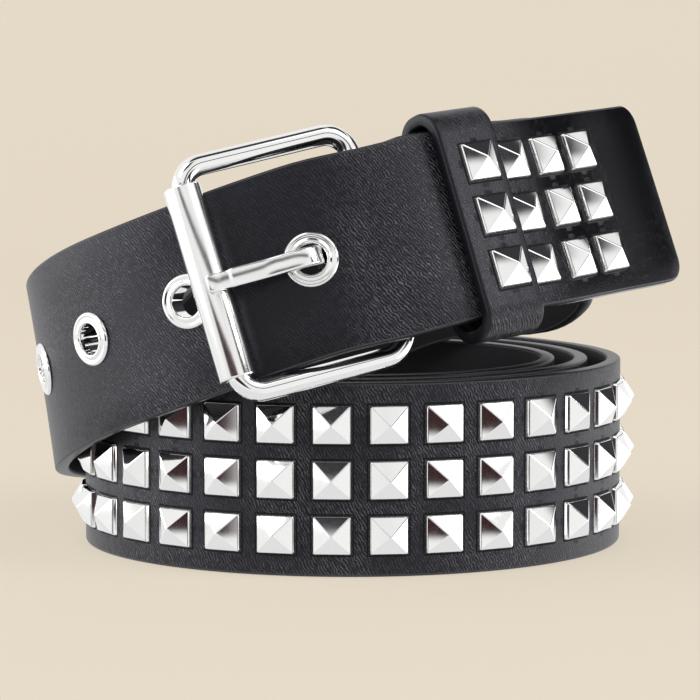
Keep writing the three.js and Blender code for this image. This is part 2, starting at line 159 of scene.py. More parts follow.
def gap(left, right, low, top):
    """A patch between two azimuths in degrees and two heights, as sines of elevations."""
    return around.within(left, right, gap_side_blur) * high.within(low, top, gap_end_blur)


screen_width = 60
screen_shift = 0.2
across_screen = abs((around / screen_width + screen_shift).past_nearest())
fall = (across_screen * 2) ** 3
screens = fall.blend((0.97, 0.97, 0.965, 1), (0.88, 0.88, 0.88, 1))
screens = high.rising(-0.3, -0.5).blend(screens, (0.82, 0.82, 0.825, 1))
dark_gaps = high.rising(0.955, 0.975)
for patch in (
    gap(-33, 37, 0.42, 0.53),
    gap(-31, 8, 0.77, 0.93),
    gap(99, 150, 0.2, 0.62),
    gap(46, 90, 0.1, 0.42),
    gap(84, 155, 0.72, 0.96),
):
    dark_gaps = dark_gaps.at_least(patch)
screens = dark_gaps.blend(screens, (0.04, 0.04, 0.045, 1))
screens = gap(60, 130, -0.4, 0.02).blend(screens, (2.2, 2.2, 2.2, 1))
screens = gap(-33, 11, -0.17, 0.16).blend(screens, (0.045, 0.022, 0.022, 1))
room.node_tree.links.new(screens.socket, room_light.inputs["Color"])
room_light.inputs["Strength"].default_value = 1
bpy.context.scene.world = room
belt_middle = Vector((0, 0, 45 * mm))


def soft_light(name, azimuth, elevation, distance, width, height, brightness):
    """A softbox that faces the belt. Azimuth is 0 in front of the belt and grows to the right."""
    turn = math.radians(azimuth)
    rise = math.radians(elevation)
    lamp = bpy.data.lights.new(name, "AREA")
    lamp.shape = "RECTANGLE"
    lamp.size = width
    lamp.size_y = height
    lamp.energy = brightness * math.pi * width * height
    box = bpy.data.objects.new(name, lamp)
    level = math.cos(rise)
    box.location = belt_middle + distance * Vector(
        (level * math.sin(turn), -level * math.cos(turn), math.sin(rise))
    )
    box.rotation_euler = (belt_middle - box.location).to_track_quat("-Z", "Y").to_euler()
    box.visible_camera = False
    bpy.context.collection.objects.link(box)


soft_light("left_light", -88, 9, 1.2, 1.3, 0.75, 2.0)
soft_light("sheen_light", 68, 25, 1.2, 0.4, 0.32, 7)
soft_light("top_left_light", -55, 55, 1.2, 0.6, 0.6, 1.3)
soft_light("top_right_light", 62, 55, 1.2, 0.6, 0.6, 1.2)

floor_reach = 2.6
floor_front = -1.7
curve_start = 0.7
curve_radius = 0.6
wall_height = 1.6
bpy.ops.object.select_all(action="DESELECT")
bpy.ops.mesh.primitive_plane_add(size=1, location=(0, 0, 0))
floor = bpy.context.object
floor.name = "floor"
for corner in floor.data.vertices:
    corner.co.x *= 2 * floor_reach
    corner.co.y = curve_start if corner.co.y > 0 else floor_front
    corner.co.z = -0.05 * mm


def edit(piece):
    """Opens one piece for editing with nothing selected, and gives its mesh."""
    bpy.ops.object.select_all(action="DESELECT")
    piece.select_set(True)
    bpy.context.view_layer.objects.active = piece
    bpy.ops.object.mode_set(mode="EDIT")
    bpy.ops.mesh.select_all(action="DESELECT")
    return bmesh.from_edit_mesh(piece.data)


def choose(piece, kind, wanted):
    """Selects the vertices, edges or faces of an open piece for which the test holds."""
    bpy.ops.mesh.select_mode(type={"verts": "VERT", "edges": "EDGE", "faces": "FACE"}[kind])
    bpy.ops.mesh.select_all(action="DESELECT")
    mesh = bmesh.from_edit_mesh(piece.data)
    for item in getattr(mesh, kind):
        item.select = bool(wanted(item))
    mesh.select_flush_mode()
    bmesh.update_edit_mesh(piece.data)


def middle_of(item):
    return sum((v.co for v in item.verts), Vector()) / len(item.verts)


curve_steps = 16
edit(floor)
choose(floor, "edges", lambda e: middle_of(e).y > curve_start - mm)
before = Vector((curve_start, 0))
for i in range(1, curve_steps + 1):
    turn = 0.5 * math.pi * i / curve_steps
    point = Vector((curve_start + curve_radius * math.sin(turn), curve_radius * (1 - math.cos(turn))))
    move = point - before
    bpy.ops.mesh.extrude_region_move(TRANSFORM_OT_translate={"value": (0, move.x, move.y)})
    before = point
bpy.ops.mesh.extrude_region_move(TRANSFORM_OT_translate={"value": (0, 0, wall_height)})
bpy.ops.mesh.select_all(action="SELECT")
bpy.ops.mesh.normals_make_consistent(inside=False)
bpy.ops.object.mode_set(mode="OBJECT")
bpy.ops.object.shade_smooth()
floor.visible_glossy = False
floor.visible_shadow = False


def new_finish(name):
    """A material, its main shader, and the place on the piece, to write its pattern from."""
    finish = bpy.data.materials.new(name)
    finish.use_nodes = True
    surface = finish.node_tree.nodes["Principled BSDF"]
    place = Shade(surface.outputs[0]).node("TexCoord", output="Object")
    return finish, surface, place


def feed(surface, **values):
    """Feeds the varying values and sets the constant ones of a main shader."""
    for name, value in values.items():
        socket = surface.inputs[name.replace("_", " ")]
        if isinstance(value, Shade):
            value.tree.links.new(value.socket, socket)
        else:
            socket.default_value = value


paper, surface, place = new_finish("cream_paper")
mottle = place.node("TexNoise", sockets={"Vector": place, "Scale": 3.0, "Detail": 2.0})
feed(
    surface,
    Base_Color=mottle.blend((0.235, 0.209, 0.172, 1), (0.24, 0.214, 0.177, 1)),
    Roughness=0.9,
    Specular_IOR_Level=0.0,
    Emission_Color=(0.79, 0.71, 0.585, 1),
    Emission_Strength=0.71,
)
floor.data.materials.append(paper)


# The strap: one long strip of black coated leather with smooth painted edges, coiled up on
# its lower edge. Its start is folded back round the buckle's heel bar and its far end is cut
# square with small round corners. It is made flat, punched, and then bent to its coil.
strap_width = 38 * mm
strap_thickness = 3 * mm
stud_pitch = 10.8 * mm
stud_height = 3.3 * mm
fit_gap = 0.35 * mm
layer_gap = 0.55 * mm
layer_pitch = strap_thickness + stud_height + layer_gap
coil_half_width = 54.4 * mm
coil_half_depth = 51 * mm
front_turn = 990
full_turn = 360
turns = 4
ring_slope = (-0.3, 0.218)

# Degrees wound, departure from an even spiral in layers, height in strap widths, lean
tip_rows = [
    (1358, -0.71, 1.715, 1),
    (1373.5, -1.14, 1.792, 1),
    (1392.6, -1.47, 1.832, 1),
    (1416.5, -1.27, 1.865, 1),
    (1436.3, 0.17, 1.902, 1),
    (1446, 1.3, 1.923, 1),
]
rise_rows = [
    (1060, 0, 0.5, 0),
    (1115, 0, 0.5, 0),
    (1170, 0.12, 0.55, 0.1),
    (1215, 0.32, 0.66, 0.3),
    (1260, 0.31, 0.86, 0.5),
    (1302, 0.2, 1.228, 0.9),
    (1343, -0.45, 1.623, 1),
]
descent_rows = [
    (-20, 1.62, 1.83, 1),
    (0, 1.3, 1.72, 0.8),
    (24, 1, 1.58, 0.5),
    (50, 0.5, 1.54, 0.3),
    (75, 0.02, 1.42, 0.1),
    (100, 0, 1.2, 0),
    (140, 0, 0.83, 0),
    (180, 0, 0.57, 0),
    (210, 0, 0.5, 0),
    (250, 0, 0.5, 0),
]
beside_tip = turns - (strap_thickness + fit_gap) / layer_pitch
buckle_rows = [
    (at - turns * full_turn, out + beside_tip, rise, lean) for at, out, rise, lean in tip_rows[:3]
]
path_rows = buckle_rows + descent_rows + rise_rows + tip_rows


def bridge(first, last, leaving, arriving, span, t):
    """A smooth step between two rows of a path, with the slope at each."""
    start = (2 * t**3 - 3 * t**2 + 1) * first + (t**3 - 2 * t**2 + t) * span * leaving
    return start + (3 * t**2 - 2 * t**3) * last + (t**3 - t**2) * span * arriving


def smooth_value(column, at):
    """One column of the path at a turn, smooth through its rows and level at its peaks."""
    rows = path_rows
    i = 0
    while i < len(rows) - 2 and rows[i + 1][0] < at:
        i += 1

    def slope(j):
        earlier = rows[max(j - 1, 0)]
        later = rows[min(j + 1, len(rows) - 1)]
        coming = rows[j][column] - earlier[column]
        going = later[column] - rows[j][column]
        if 0 < j < len(rows) - 1 and coming * going <= 0:
            return 0
        return (coming + going) / (later[0] - earlier[0])

    span = rows[i + 1][0] - rows[i][0]
    t = (at - rows[i][0]) / span
    return bridge(rows[i][column], rows[i + 1][column], slope(i), slope(i + 1), span, t)


def strap_middle(at):
    grown = layer_pitch * ((at - front_turn) / full_turn + smooth_value(1, at))
    turn = math.radians(at)
    return Vector((
        (coil_half_width + grown) * math.cos(turn),
        (coil_half_depth + grown) * math.sin(turn),
        strap_width * smooth_value(2, at),
    ))


first_at = path_rows[0][0]
last_at = path_rows[-1][0]
sample_count = 3000
samples = []
length = 0.0
for i in range(sample_count + 1):
    at = first_at + (last_at - first_at) * i / sample_count
    point = strap_middle(at)
    if samples:
        length += (point - samples[-1][1]).length
    samples.append((at, point, length))


def wound_after(length):
    low, high = 0, sample_count
    while high - low > 1:
        mid = (low + high) // 2
        if samples[mid][2] < length:
            low = mid
        else:
            high = mid
    a, b = samples[low], samples[high]
    return a[0] + (b[0] - a[0]) * (length - a[2]) / (b[2] - a[2])


def length_at(at):
    near = samples[int((at - first_at) / (last_at - first_at) * sample_count)]
    return near[2] + (strap_middle(at) - near[1]).length


def frame_of(point, along, up):
    """A place on the strap: x along it, y up its width and z out of its studded face."""
    along = along.normalized()
    up = (up - up.dot(along) * along).normalized()
    made = Matrix((along, up, along.cross(up))).transposed().to_4x4()
    made.translation = point
    return made


def axis(made, i):
    return made.col[i].to_3d()


def strap_frame(length):
    at = wound_after(length)
    step = 0.05
    along = strap_middle(at + step) - strap_middle(at - step)
    lean = smooth_value(3, at)
    return frame_of(strap_middle(at), along, Vector((ring_slope[0] * lean, ring_slope[1] * lean, 1)))


def flat_frame(length, reach):
    """The flat piece of strap that a stud or an eyelet holds."""
    first = strap_frame(length - reach)
    last = strap_frame(length + reach)
    middle = (first.translation + last.translation) / 2
    return frame_of(middle, last.translation - first.translation, axis(first, 1) + axis(last, 1))


stud_size = 8 * mm
stud_start = 64 * mm
eyelet_count = 7
eyelet_pitch = 25.4 * mm
eyelet_flange = 10.9 * mm
keeper_width = 14 * mm
keeper_stud_shift = 1 * mm
first_eyelet_turn = 1343.8
heel_past_eyelet = 15.6 * mm
roller_before_eyelet = 18.6 * mm
keeper_past_heel = 12.8 * mm
plain_before_tip = 16.6 * mm
plain_before_eyelets = 22.7 * mm
first_eyelet = length_at(first_eyelet_turn)
roller_on_tip = first_eyelet - roller_before_eyelet
keeper_on_tip = first_eyelet + heel_past_eyelet + keeper_past_heel + keeper_width / 2
first_tip_stud = keeper_on_tip + keeper_width / 2 + stud_size / 2 + fit_gap
tip_studs = 3
strap_end = first_tip_stud + (tip_studs - 1) * stud_pitch + stud_size / 2 + plain_before_tip
last_eyelet = first_eyelet - (eyelet_count - 1) * eyelet_pitch
last_stud = last_eyelet - plain_before_eyelets
stud_columns = int((last_stud - stud_start) / stud_pitch) + 1

# The heel bar lies right behind the buckle end of the strap, square to the first eyelet.
wire = 4.2 * mm
roller_size = 7.3 * mm
heel_up = axis(strap_frame(first_eyelet), 1)
heel_along = axis(strap_frame(0), 0)
heel_along = (heel_along - heel_along.dot(heel_up) * heel_up).normalized()
heel_frame = frame_of(strap_frame(0).translation, heel_along, heel_up)
heel_offset = strap_thickness / 2 + fit_gap + wire / 2
heel_centre = heel_frame @ Vector((0, 0, -heel_offset))
roller_offset = strap_thickness / 2 + fit_gap + roller_size / 2
roller_place = strap_frame(roller_on_tip) @ Vector((0, 0, roller_offset))
buckle_span = heel_centre - roller_place
buckle_span -= buckle_span.dot(heel_up) * heel_up
buckle_reach = buckle_span.length
buckle_frame = frame_of(heel_centre - buckle_span, buckle_span, heel_up)

# The buckle sits a little above the strap's middle. Its roller is even all round, so the
# middle of the roller's box is where the strap's line puts its centre.
buckle_lift = 1 * mm
roller_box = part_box("roller")
roller_middle = buckle_frame @ Vector((0, buckle_lift, 0))
belt_place = (roller_box[0] + roller_box[1]) / 2 - roller_middle
moved = Matrix.Translation(belt_place)

fold_tail = 10 * mm
fold_wrap = math.pi * heel_offset
fold_width = 34.4 * mm


def eased(value, low, high):
    t = min(max((value - low) / (high - low), 0), 1)
    return t * t * (3 - 2 * t)


def folded_frame(length):
    """A place on the fold: half a turn round the heel bar, after a tail behind the strap."""
    centre = heel_frame @ Vector((0, 0, -heel_offset))
    if length > -fold_wrap:
        turn = math.pi * (1 + length / fold_wrap)
        out = -math.cos(turn) * axis(heel_frame, 2) - math.sin(turn) * axis(heel_frame, 0)
        return frame_of(centre + heel_offset * out, -out.cross(heel_up), heel_up)
    behind = -length - fold_wrap
    beside = strap_frame(behind)
    near = strap_thickness + fit_gap
    apart = 2 * heel_offset + (near - 2 * heel_offset) * eased(behind, 0, fold_tail)
    return frame_of(beside @ Vector((0, 0, -apart)), -axis(beside, 0), axis(beside, 1))


def between(first, second, share):
    """A place between two places."""
    along = axis(first, 0).lerp(axis(second, 0), share)
    up = axis(first, 1).lerp(axis(second, 1), share)
    return frame_of(first.translation.lerp(second.translation, share), along, up)


def rest_frame(length):
    """Where the finished strap lies: folded at its start and flat beside the heel bar."""
    if length < 0:
        return folded_frame(length)
    made = strap_frame(length)
    if length < fold_tail:
        made = between(heel_frame, made, eased(length, 0, fold_tail))
    return made


strap_start = -fold_wrap - fold_tail
tip_corner = 4.4 * mm
tip_slant = 0.05
body_end = strap_end - tip_corner
body_length = body_end - strap_start
bpy.ops.object.select_all(action="DESELECT")
bpy.ops.mesh.primitive_cube_add(size=1)
strap = bpy.context.object
strap.name = "strap_leather"
for corner in strap.data.vertices:
    corner.co.x = strap_start + (corner.co.x + 0.5) * body_length
    corner.co.y *= strap_width
    corner.co.z *= strap_thickness

edit(strap)
long_cuts = 22
wide_cuts = 5
for _ in range(2):
    choose(strap, "edges", lambda e: abs(e.verts[0].co.x - e.verts[1].co.x) > mm)
    bpy.ops.mesh.subdivide(number_cuts=long_cuts)
choose(strap, "edges", lambda e: abs(e.verts[0].co.y - e.verts[1].co.y) > mm)
bpy.ops.mesh.subdivide(number_cuts=wide_cuts)
hair = 0.01 * mm
choose(strap, "faces", lambda f: middle_of(f).x > body_end - hair)
tip_steps = 7
reach, half = 0.0, strap_width / 2
for i in range(1, tip_steps + 1):
    turn = 0.5 * math.pi * i / tip_steps
    new_reach = tip_corner * math.sin(turn)
    new_half = strap_width / 2 - tip_corner * (1 - math.cos(turn))
    bpy.ops.mesh.extrude_region_move(TRANSFORM_OT_translate={"value": (new_reach - reach, 0, 0)})
    bpy.ops.transform.resize(value=(1, new_half / half, 1))
    reach, half = new_reach, new_half


def crosses_tip(edge):
    """Whether an edge runs straight across the strap where its corners are rounded."""
    start, end = (v.co for v in edge.verts)
    straight = abs(start.x - end.x) + abs(start.z - end.z) < hair
    return straight and body_end + hair < start.x < strap_end - hair


choose(strap, "edges", crosses_tip)
bpy.ops.mesh.dissolve_edges(use_verts=True)


def sharp_edge(least):
    """A test for the edges at which two faces meet at more than an angle, in degrees."""
    return lambda e: len(e.link_faces) == 2 and e.calc_face_angle(0) > math.radians(least)


edge_round = 0.55 * mm
choose(strap, "edges", sharp_edge(50))
bpy.ops.mesh.bevel(offset=edge_round, segments=3, profile=0.5)
bpy.ops.object.mode_set(mode="OBJECT")


def cut(piece, cutter):
    """Takes one shape out of a piece, then throws the shape away."""
    bpy.ops.object.select_all(action="DESELECT")
    piece.select_set(True)
    bpy.context.view_layer.objects.active = piece
    taken = piece.modifiers.new("cut", "BOOLEAN")
    taken.operation = "DIFFERENCE"
    taken.solver = "EXACT"
    taken.object = cutter
    bpy.ops.object.modifier_apply(modifier=taken.name)
    bpy.data.objects.remove(cutter)


eyelet_bore = 6.1 * mm
eyelet_wall = 0.5 * mm
hole_radius = eyelet_bore / 2 + eyelet_wall + fit_gap
punches = []
for i in range(eyelet_count):
    bpy.ops.mesh.primitive_cylinder_add(
        vertices=32,
        radius=hole_radius,
        depth=2 * strap_thickness,
        location=(first_eyelet - i * eyelet_pitch, 0, 0),
    )
    punches.append(bpy.context.object)
prong_width = 3.7 * mm
slot_length = fold_wrap + 2 * strap_thickness
bpy.ops.mesh.primitive_cube_add(
    size=1,
    location=(-fold_wrap / 2, 0, 0),
    scale=(slot_length, prong_width + 4 * fit_gap, 2 * strap_thickness),
)
punches.append(bpy.context.object)
bpy.ops.object.select_all(action="DESELECT")
for punch in punches:
    punch.select_set(True)
bpy.context.view_layer.objects.active = punches[0]
bpy.ops.object.join()
cut(strap, punches[0])

flat = strap.data.attributes.new("flat", "FLOAT_VECTOR", "POINT")
for point, laid in zip(strap.data.vertices, flat.data):
    x, y, z = point.co
    laid.vector = (x / mm, y / mm, z / mm)
    x += tip_slant * (y + strap_width / 2) * eased(x, body_end - tip_corner, body_end)
    narrow = fold_width / strap_width
    wide = narrow + (1 - narrow) * eased(x, 0, fold_tail)
    point.co = moved @ rest_frame(x) @ Vector((0, y * wide, z))
bpy.ops.object.select_all(action="DESELECT")
strap.select_set(True)
bpy.context.view_layer.objects.active = strap
bpy.ops.object.shade_smooth_by_angle(angle=math.radians(35))

leather, surface, place = new_finish("black_leather")
half_thick = strap_thickness / mm / 2
half_wide = strap_width / mm / 2
spot = place.node("Attribute", {"attribute_name": "flat"}, output="Vector")
along, across, through = parts_of(spot)
back = 1 - through.rising(-half_thick + 0.05, -half_thick + 0.45)
on_keeper = through.rising(half_thick + 0.4, half_thick + 0.6)
side = abs(across).rising(half_wide - 0.35, half_wide - 0.05) * (1 - on_keeper)

# Fine wavy creases run down to the right over the coated face, deeper in some patches.
crease_lean = math.radians(-28)
slant = spot.node("VectorRotate", {"rotation_type": "Z_AXIS"}, {"Vector": spot, "Angle": crease_lean})
crease = slant.node(
    "TexWave",
    {"wave_type": "BANDS", "bands_direction": "X", "wave_profile": "SIN"},
    {"Vector": slant, "Scale": 0.54, "Distortion": 7.0, "Detail": 3.0, "Detail Scale": 1.7},
)
breaks = slant.node(
    "TexNoise", {"noise_dimensions": "2D"}, {"Vector": slant, "Scale": 0.75, "Detail": 1.0}
)
crease = crease.rising(0.35, 1.0) * (breaks.rising(0.3, 0.6) * 0.7 + 0.3)
patch = spot.node(
    "TexNoise", {"noise_dimensions": "2D"}, {"Vector": spot, "Scale": 0.055, "Detail": 1.0}
)
patch = patch.rising(0.36, 0.6)
pore = spot.node("TexNoise", sockets={"Vector": spot, "Scale": 2.6, "Detail": 3.0, "Roughness": 0.6})

# Each stud's legs pull the leather in beside the middles of its sides.
first_body_stud = last_stud - (stud_columns - 1) * stud_pitch
last_tip_stud = first_tip_stud + (tip_studs - 1) * stud_pitch
pitch = stud_pitch / mm
dip_at = 4.03
pull_at = 4.55
reach = 5.5
blur = 0.3
body_studs = along.within(first_body_stud / mm - reach, last_stud / mm + reach, blur)
tip_area = along.within(first_tip_stud / mm - reach, last_tip_stud / mm + reach, blur)
stud_phase = tip_area * ((last_stud - first_tip_stud) / mm)
column = (along - last_stud / mm + stud_phase) / pitch
column = column.past_nearest() * pitch
row = (across / pitch).past_nearest() * pitch
keeper_column = last_stud / mm - 3 * pitch
own = 1 - on_keeper * abs(along - keeper_column).rising(5.2, 5.6)
studded = (body_studs + tip_area) * own * (1 - abs(across).rising(15.6, 16)) * (1 - back)
beside = abs(column).at_least(abs(row))
dip = (1 - abs(beside - dip_at).rising(0.06, 0.24)) * studded
beside_column = 1 - abs(abs(column) - pull_at).rising(0.1, 0.75)
beside_row = 1 - abs(abs(row) - pull_at).rising(0.1, 0.75)
pull_on = beside_column * (1 - abs(row).rising(0.2, 1.2))
pull_up = beside_row * (1 - abs(column).rising(0.2, 1.2))
pull = pull_on.at_least(pull_up) * studded

smooth = along.rising(roller_on_tip / mm, roller_on_tip / mm + 4) * (
    1 - along.rising(first_eyelet / mm + 1, first_eyelet / mm + 12)
)
tip_end = along.rising(first_tip_stud / mm - 2, first_tip_stud / mm + 8)
beyond = along.rising(first_eyelet / mm + 4, first_eyelet / mm + 16)
keeper_edge = on_keeper * abs(along - keeper_column + keeper_stud_shift / mm).rising(6.2, 6.6)
# How strongly the creases show, both in their bump and in their painted highlight: less in some
# patches, near the buckle, at the end and at the edges, more past the first eyelet.
grain_and_sheen = (patch * 0.5 + 0.25 + beyond * 0.25) * (1 - smooth * 0.85) * (1 - tip_end * 0.85)
grain_and_sheen = grain_and_sheen * (1 - keeper_edge.at_least(side))
front_height = crease * grain_and_sheen * 0.13 + pore * 0.02 + pull * (pore * 0.4 - 0.22) - dip * 0.12
height = front_height * (1 - back) + pore * back * 0.03
bump = height.node("Bump", sockets={"Height": height, "Strength": 1.0, "Distance": mm})
# The crests of the creases are painted lighter as a painted highlight, and the hollows between them
# nearly black as painted shade.
tone = (crease * grain_and_sheen).blend((0.0035, 0.0035, 0.0055, 1), (0.12, 0.12, 0.142, 1))
# The strap's end, from its first studs on, is painted nearly black: painted shade where it mirrors
# little light.
tone = tip_end.blend(tone, (0.0015, 0.0015, 0.0025, 1))
tone = back.blend(tone, (0.009, 0.0088, 0.0098, 1))
tone = side.blend(tone, (0.006, 0.006, 0.007, 1))
# A thin line near each edge of the strap's face is painted lighter: a painted highlight on the rounded
# edge.
rim = (1 - abs(abs(across) - half_wide + 0.4).rising(0.05, 0.16)) * (1 - on_keeper)
tone = rim.blend(tone, (0.05, 0.05, 0.055, 1))
# Round each stud's foot and in the dimples that its legs pull in, the leather is painted nearly black:
# painted shade.
tone = (pull * 0.6).at_least(dip).blend(tone, (0.001, 0.001, 0.001, 1))
feed(
    surface,
    Base_Color=tone,
    Roughness=0.3 + pore * 0.1 + back * 0.2 + dip * 0.4 - tip_end * 0.16,
    Normal=bump,
    Specular_IOR_Level=0.34,
    Specular_Tint=(0.88, 0.9, 1, 1),
)
strap.data.materials.append(leather)
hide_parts("strap")
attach(strap, "root")


# The studs: pressed steel pyramids with a low upright rim, nickel plated and polished. Legs
# that are bent over behind the leather hold them down, so none of them shows.
stud_half = stud_size / 2
shoulder_half = 3.76 * mm
stud_rim = 0.8 * mm
stud_sink = 0.6 * mm
stud_corner_round = 0.45 * mm
stud_ridge_round = 0.22 * mm
bpy.ops.object.select_all(action="DESELECT")
bpy.ops.mesh.primitive_cone_add(
    vertices=4,
    radius1=shoulder_half * math.sqrt(2),
    radius2=0,
    depth=stud_height - stud_rim,
    location=(0, 0, (stud_height + stud_rim) / 2),
    rotation=(0, 0, math.pi / 4),
)
stud = bpy.context.object
stud.name = "stud"
bpy.ops.object.transform_apply(location=True, rotation=True, scale=True)
edit(stud)
choose(stud, "faces", lambda f: f.normal.z < -0.5)
bpy.ops.mesh.extrude_region_move(TRANSFORM_OT_translate={"value": (0, 0, -stud_rim - stud_sink)})
grow = stud_half / shoulder_half
bpy.ops.transform.resize(value=(grow, grow, 1))
choose(
    stud,
    "edges",
    lambda e: middle_of(e).z < stud_rim and abs(e.verts[0].co.z - e.verts[1].co.z) > mm,
)
bpy.ops.mesh.bevel(offset=stud_corner_round, segments=2, profile=0.5)
choose(stud, "edges", lambda e: middle_of(e).z > stud_rim - 0.1 * mm and e.calc_face_angle(0) > 0.3)
bpy.ops.mesh.bevel(offset=stud_ridge_round, segments=1, profile=0.5)
choose(stud, "faces", lambda f: f.normal.z < -0.9)
bpy.ops.mesh.delete(type="FACE")
choose(stud, "edges", lambda e: len(e.link_faces) == 1)
bpy.ops.mesh.edge_face_add()
bpy.ops.object.mode_set(mode="OBJECT")


def join_pieces(first, others):
    """Joins pieces into the first one, which keeps its name."""
    bpy.ops.object.select_all(action="DESELECT")
    for piece in [first, *others]:
        piece.select_set(True)
    bpy.context.view_layer.objects.active = first
    bpy.ops.object.join()
    return first


bpy.ops.object.select_all(action="DESELECT")
stud.select_set(True)
bpy.ops.object.shade_smooth_by_angle(angle=math.radians(60))
even = stud.modifiers.new("even", "WEIGHTED_NORMAL")
even.weight = 100
even.keep_sharp = True
bpy.ops.object.modifier_apply(modifier=even.name)


def copies(name, piece, places):
    """One piece made of copies of another at many places."""
    made = []
    for place_at in places:
        mesh = piece.data.copy()
        mesh.transform(moved @ place_at)
        copy = bpy.data.objects.new(name, mesh)
        bpy.context.collection.objects.link(copy)
        made.append(copy)
    joined = join_pieces(made[0], made[1:])
    joined.name = name
    return joined


def column_of(place_at, stand_off):
    """Places of the three studs across the strap."""
    return [
        place_at @ Matrix.Translation((0, row_at * stud_pitch, stand_off)) for row_at in (-1, 0, 1)
    ]


half_strap = strap_thickness / 2
stud_places = []
for i in range(stud_columns):
    stud_places += column_of(flat_frame(last_stud - i * stud_pitch, stud_half), half_strap)
for i in range(tip_studs):
    flat_at = flat_frame(first_tip_stud + i * stud_pitch, stud_half)
    stud_places += column_of(flat_at, half_strap)
studs = copies("studs", stud, stud_places)


def nickel_plate(name, dullness):
    """Bright nickel with a faint haze and a slight waviness from the stamping."""
    plate, surface, place = new_finish(name)
    haze = place.node("TexNoise", sockets={"Vector": place, "Scale": 900.0, "Detail": 2.0})
    wave = place.node("TexNoise", sockets={"Vector": place, "Scale": 260.0, "Detail": 1.0})
    shape = wave.node("Bump", sockets={"Height": wave, "Strength": 0.1, "Distance": 0.05 * mm})
    feed(
        surface,
        Base_Color=haze.blend((0.885, 0.882, 0.875, 1), (0.925, 0.923, 0.918, 1)),
        Metallic=1.0,
        Roughness=dullness + haze * 0.06,
        Normal=shape,
    )
    return plate


nickel = nickel_plate("polished_nickel", 0.04)
tumbled_nickel = nickel_plate("tumbled_nickel", 0.12)
studs.data.materials.append(nickel)
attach(studs, "root")


# The keeper: a band of the same leather, closed behind the strap into a loop with round
# bends, that holds the tip down. It carries a column of three studs of its own.
keeper_wall = 2.6 * mm
keeper_bend = 4.3 * mm
keeper_room = 1.5 * mm
keeper_round = 0.6 * mm
keeper_frame = strap_frame(keeper_on_tip)
keeper_bow = max(
    (keeper_frame.translation - strap_frame(keeper_on_tip + share * keeper_width / 2).translation).dot(
        axis(keeper_frame, 2)
    )
    for share in (-1, 1)
)
keeper_front = half_strap + fit_gap + keeper_wall / 2
keeper_back = -(3 * half_strap + 2 * fit_gap) - keeper_bow - keeper_wall / 2
keeper_half = strap_width / 2 + keeper_room + keeper_wall / 2
keeper_drop = 0.15 * mm
bpy.ops.object.select_all(action="DESELECT")
bpy.ops.mesh.primitive_plane_add(size=1)
keeper = bpy.context.object
keeper.name = "keeper_leather"
for corner in keeper.data.vertices:
    out_at = keeper_front if corner.co.x > 0 else keeper_back
    up_at = math.copysign(keeper_half, corner.co.y)
    corner.co = (-keeper_width / 2, up_at, out_at)
edit(keeper)
bpy.ops.mesh.select_all(action="SELECT")
bpy.ops.mesh.bevel(offset=keeper_bend, segments=9, affect="VERTICES", profile=0.5)
bpy.ops.mesh.delete(type="ONLY_FACE")
choose(keeper, "edges", lambda e: e.calc_length() > 6 * mm)
bpy.ops.mesh.subdivide(number_cuts=7)
bpy.ops.mesh.select_all(action="SELECT")
keeper_steps = 6
for i in range(keeper_steps):
    bpy.ops.mesh.extrude_region_move(
        TRANSFORM_OT_translate={"value": (keeper_width / keeper_steps, 0, 0)}
    )
bpy.ops.mesh.select_all(action="SELECT")
bpy.ops.mesh.normals_make_consistent(inside=False)
bpy.ops.object.mode_set(mode="OBJECT")
wall = keeper.modifiers.new("wall", "SOLIDIFY")
wall.thickness = keeper_wall
wall.offset = 0
bpy.ops.object.modifier_apply(modifier=wall.name)
rounding = keeper.modifiers.new("rounding", "BEVEL")
rounding.width = keeper_round
rounding.segments = 3
rounding.limit_method = "ANGLE"
rounding.angle_limit = math.radians(50)
bpy.ops.object.modifier_apply(modifier=rounding.name)
flat = keeper.data.attributes.new("flat", "FLOAT_VECTOR", "POINT")
for point, laid in zip(keeper.data.vertices, flat.data):
    x, y, z = point.co
    beside_stud = (x - keeper_stud_shift) / mm
    laid.vector = (keeper_column + beside_stud, y / mm, half_thick + 1)
    point.co = moved @ keeper_frame @ (point.co - Vector((0, keeper_drop, 0)))
bpy.ops.object.shade_smooth_by_angle(angle=math.radians(40))
keeper.data.materials.append(leather)
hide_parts("keeper_loop")
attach(keeper, "root")

shifted = keeper_frame @ Matrix.Translation((keeper_stud_shift, 0, 0))
keeper_face = half_strap + fit_gap + keeper_wall
keeper_studs = copies("keeper_studs", stud, column_of(shifted, keeper_face))
keeper_studs.data.materials.append(nickel)
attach(keeper_studs, "root")
bpy.data.objects.remove(stud)


# The eyelets: two pressed rings that are clinched through the strap. The front one has a
# rolled outer edge, a hollow and an inner ridge that turns down into the hole.
ring_outline = [
    (3.05, -2.15), (3.05, 1.9), (3.1, 2.3), (3.28, 2.55), (3.55, 2.62), (3.82, 2.5),
    (4.05, 2.26), (4.3, 2.2), (4.55, 2.3), (4.82, 2.4), (5.1, 2.33), (5.33, 2.08),
    (5.45, 1.8), (5.4, 1.68), (3.6, 1.68), (3.55, 1.6), (3.55, -1.6), (3.6, -1.68),
    (4.9, -1.68), (5, -1.8), (4.9, -2.05), (4.5, -2.17), (3.3, -2.2),
]
bpy.ops.object.select_all(action="DESELECT")
bpy.ops.mesh.primitive_circle_add(vertices=len(ring_outline), radius=mm)
eyelet = bpy.context.object
eyelet.name = "eyelet"
for corner, (radius, stand) in zip(eyelet.data.vertices, ring_outline):
    corner.co = (radius * mm, 0, stand * mm)
edit(eyelet)
bpy.ops.mesh.select_all(action="SELECT")
bpy.ops.mesh.spin(steps=48, angle=2 * math.pi, center=(0, 0, 0), axis=(0, 0, 1))
bpy.ops.mesh.select_all(action="SELECT")
bpy.ops.mesh.remove_doubles(threshold=hair)
bpy.ops.mesh.normals_make_consistent(inside=False)
